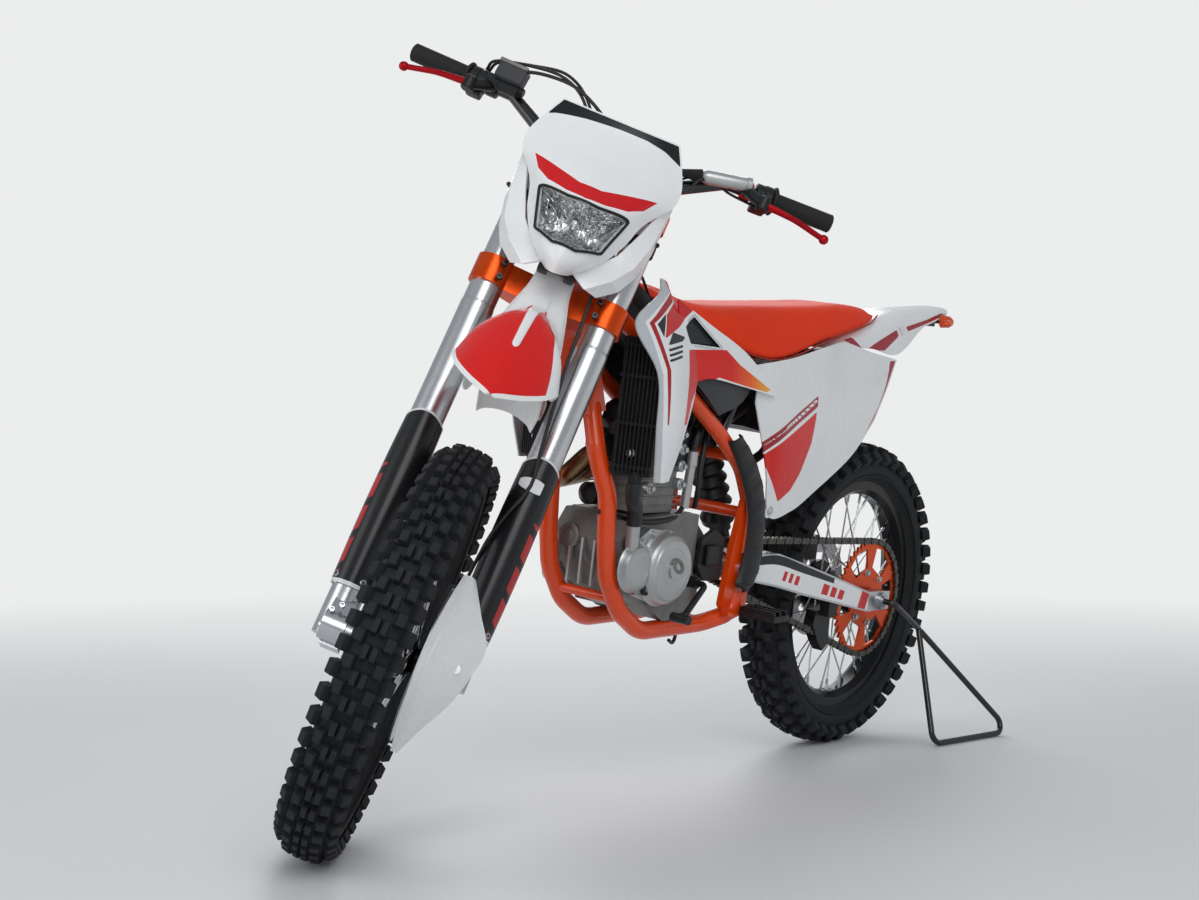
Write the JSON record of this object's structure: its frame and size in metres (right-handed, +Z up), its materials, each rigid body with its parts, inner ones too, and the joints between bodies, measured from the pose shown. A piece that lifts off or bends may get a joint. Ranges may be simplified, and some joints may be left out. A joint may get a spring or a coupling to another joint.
{
  "type": "off-road motorcycle on an axle stand",
  "caption": "Enduro motorcycle leaning on a bent-wire axle stand, steering on its left stop, with turning wire wheels and a steered fork.",
  "frame": {"origin": "on the floor, under the middle of the parked motorcycle's bounding box", "axes": "+X towards the front wheel, +Y to the rider's left, the side it leans to, +Z up from the floor"},
  "size_m": [2.11, 0.6542, 1.38],
  "materials": {
    "frame_paint": "gloss",
    "engine_silver": "satin",
    "engine_dark": "satin",
    "black_metal": "satin",
    "bronzed_steel": "satin",
    "brushed_metal": "satin",
    "radiator_black": "matte",
    "black_rubber": "matte",
    "white_plastic": "gloss",
    "seat_cover": "satin",
    "black_plastic": "satin",
    "amber_plastic": "gloss",
    "dark_steel": "satin",
    "silver_metal": "satin",
    "black_steel": "gloss",
    "tyre": "matte",
    "orange_metal": "anodised",
    "bright_chrome": "polished",
    "red_metal": "anodised",
    "lamp_glass": "clear"
  },
  "bodies": {
    "chassis": {"main_frame": "frame_paint", "subframe": "frame_paint", "crankcase": "engine_silver", "ignition_cover": "engine_silver", "clutch_cover": "engine_silver", "cylinder": "engine_silver", "cylinder_head": "engine_dark", "throttle_body": "black_metal", "exhaust_pipe": "bronzed_steel", "muffler": "brushed_metal", "radiators": "radiator_black", "coolant_hose": "black_rubber", "fuel_tank": "white_plastic", "seat": "seat_cover", "shrouds": "white_plastic", "side_panels": "white_plastic", "rear_fender": "white_plastic", "tail_lamp": "black_plastic", "rear_indicators": "amber_plastic", "air_box": "black_plastic", "frame_guards": "black_plastic", "sprocket_cover": "black_plastic", "footpegs": "dark_steel", "foot_levers": "dark_steel", "shock_absorber": "dark_steel", "swing_arm": "silver_metal", "pivot_bolt": "brushed_metal", "chain_guide": "black_plastic", "drive_chain": "dark_steel", "rear_caliper": "black_metal", "rear_axle": "brushed_metal", "prop_stand": "black_steel"},
    "rear_wheel": {"rear_tyre": "tyre", "rear_rim": "black_metal", "rear_hub": "silver_metal", "rear_sprocket": "orange_metal", "rear_disc": "brushed_metal"},
    "steering": {"triple_clamps": "orange_metal", "fork_tubes": "silver_metal", "fork_lowers": "bright_chrome", "fork_guards": "black_plastic", "front_axle": "brushed_metal", "front_caliper": "black_metal", "disc_guard": "white_plastic", "handlebar": "silver_metal", "grips": "black_rubber", "hand_controls": "black_metal", "hand_levers": "red_metal", "headlight_mask": "white_plastic", "headlight": "lamp_glass", "front_fender": "white_plastic"},
    "front_wheel": {"front_tyre": "tyre", "front_rim": "black_metal", "front_hub": "silver_metal", "front_disc": "brushed_metal"}
  },
  "joints": [
    {"name": "rear_wheel_spin", "type": "hinge", "parent": "chassis", "child": "rear_wheel", "pos_m": [-0.717, -0.10791, 0.33624], "axis": [-0.0009, 0.989, -0.1478], "continuous": true},
    {"name": "steering", "type": "hinge", "parent": "chassis", "child": "steering", "pos_m": [0.71098, -0.10996, 0.31386], "axis": [-0.4408, 0.1323, 0.8878], "range_deg": [-76, 0]},
    {"name": "front_wheel_spin", "type": "hinge", "parent": "steering", "child": "front_wheel", "pos_m": [0.75198, -0.07163, 0.3285], "axis": [-0.5533, 0.7388, -0.3848], "continuous": true}
  ]
}
